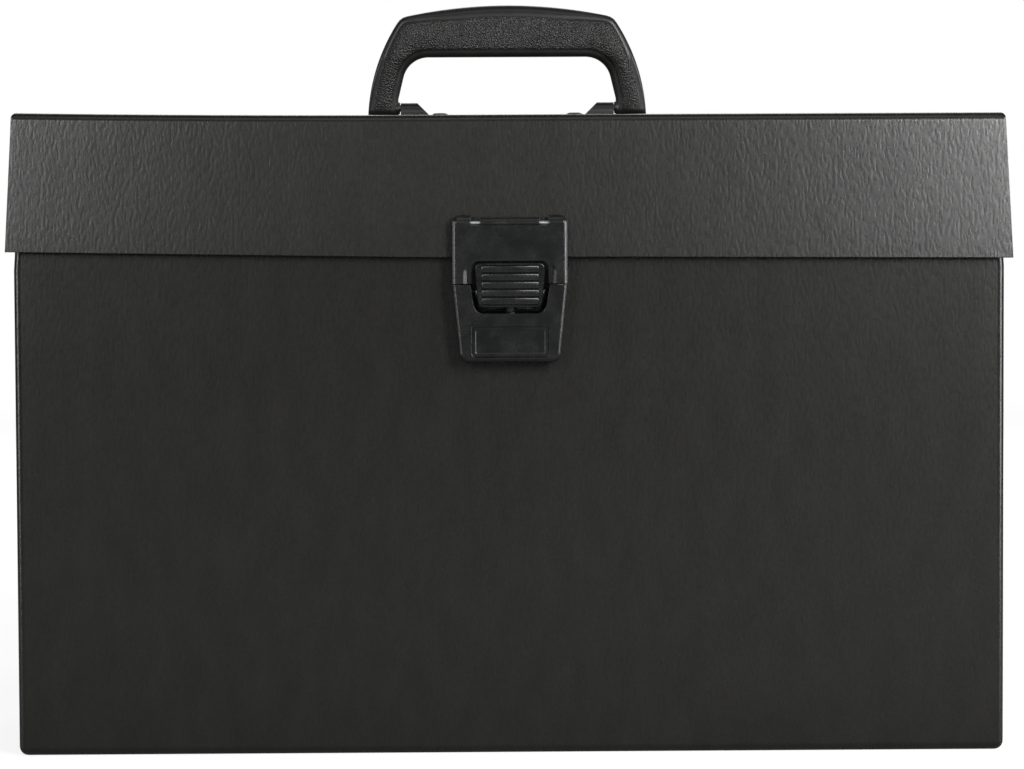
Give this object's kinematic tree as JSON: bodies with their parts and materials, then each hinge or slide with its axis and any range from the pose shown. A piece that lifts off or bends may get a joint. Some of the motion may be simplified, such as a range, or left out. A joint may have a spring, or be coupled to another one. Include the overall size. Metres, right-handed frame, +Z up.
{
  "type": "portable file box",
  "caption": "Portable box for hanging folders, with a hinged tray lid, a swinging carry handle and a hinged hasp held by a slide button.",
  "frame": {"origin": "middle of the flat bottom, on the surface that the box stands on", "axes": "+X to the right, +Y to the back, +Z up; the latch is on the -Y side"},
  "size_m": [0.4134, 0.1524, 0.3106],
  "materials": {
    "embossed_sheet": "black embossed sheet, satin",
    "rail_plastic": "black extruded plastic, satin",
    "hinge_tape": "black woven tape",
    "handle_plastic": "black moulded plastic, pebbled with smooth rims",
    "latch_plastic": "black moulded plastic, satin gloss",
    "eyelet_metal": "black enamelled metal",
    "plated_steel": "zinc plated"
  },
  "bodies": {
    "box": {"body_shell": "embossed_sheet", "rail_left": "rail_plastic", "rail_right": "rail_plastic", "hinge_tape_back": "hinge_tape", "catch_base": "latch_plastic", "catch_housing": "latch_plastic", "catch_face_plate": "latch_plastic", "catch_spring": "plated_steel", "catch_backing_plate": "plated_steel", "catch_rivets": "plated_steel"},
    "lid": {"lid_shell": "embossed_sheet", "hinge_tape_lid": "hinge_tape", "handle_plate": "handle_plastic", "handle_eyelets": "eyelet_metal", "handle_washers": "plated_steel", "hasp_bracket": "latch_plastic", "hasp_backing_plate": "plated_steel", "hasp_rivets": "plated_steel", "hasp_pin": "plated_steel"},
    "handle": {"handle_grip": "handle_plastic", "handle_pins": "plated_steel"},
    "hasp": {"hasp": "latch_plastic"},
    "button": {"catch_button": "latch_plastic"}
  },
  "joints": [
    {"name": "lid_hinge", "type": "hinge", "parent": "box", "child": "lid", "pos_m": [0, 0.07, 0.264], "axis": [-1, 0, 0], "range_deg": [0, 225]},
    {"name": "handle_swing", "type": "hinge", "parent": "lid", "child": "handle", "pos_m": [0, 0, 0.267], "axis": [1, 0, 0], "range_deg": [-75, 75]},
    {"name": "hasp_swing", "type": "hinge", "parent": "lid", "child": "hasp", "pos_m": [0, -0.0787, 0.2197], "axis": [-1, 0, 0], "range_deg": [0, 105]},
    {"name": "button_slide", "type": "slide", "parent": "box", "child": "button", "axis": [0, 0, -1], "range_m": [0, 0.0018], "stiffness_N_per_m": 1500, "springref_m": -0.002, "deforming": ["catch_spring"]}
  ]
}
